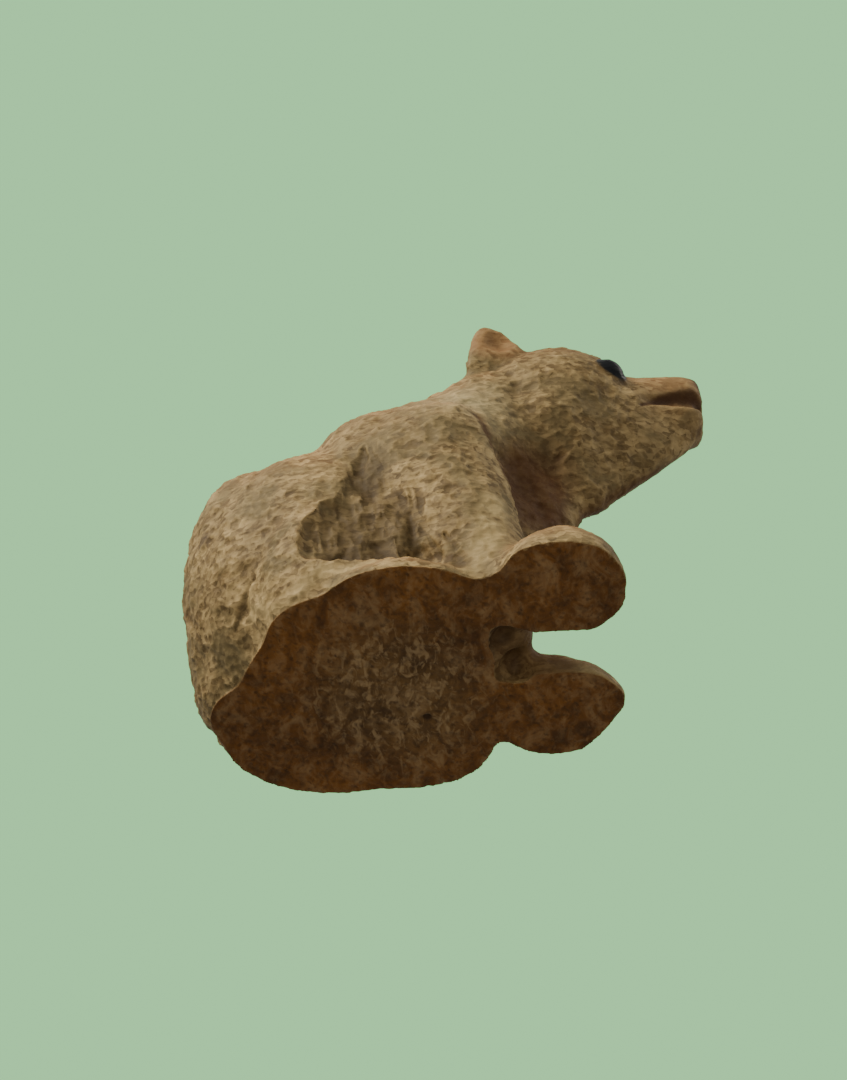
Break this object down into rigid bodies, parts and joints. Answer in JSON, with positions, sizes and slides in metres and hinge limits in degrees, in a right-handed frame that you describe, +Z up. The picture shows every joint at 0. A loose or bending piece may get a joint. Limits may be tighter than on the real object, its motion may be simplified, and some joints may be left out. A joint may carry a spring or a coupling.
{
  "type": "wooden bear carving",
  "caption": "Small hand-carved wooden bear sitting on its haunches, head raised, forepaws planted, underside sawn flat.",
  "frame": {"origin": "middle of the bear's bounding box in X and Y, on the flat underside", "axes": "+X towards the nose, +Y towards the bear's left side, +Z up"},
  "size_m": [0.0872, 0.0586, 0.0696],
  "materials": {
    "wood": "unvarnished limewood with gouge marks, matt, darker in the cuts and on the sawn underside"
  },
  "bodies": {
    "root": {"bear": "wood"}
  },
  "joints": []
}
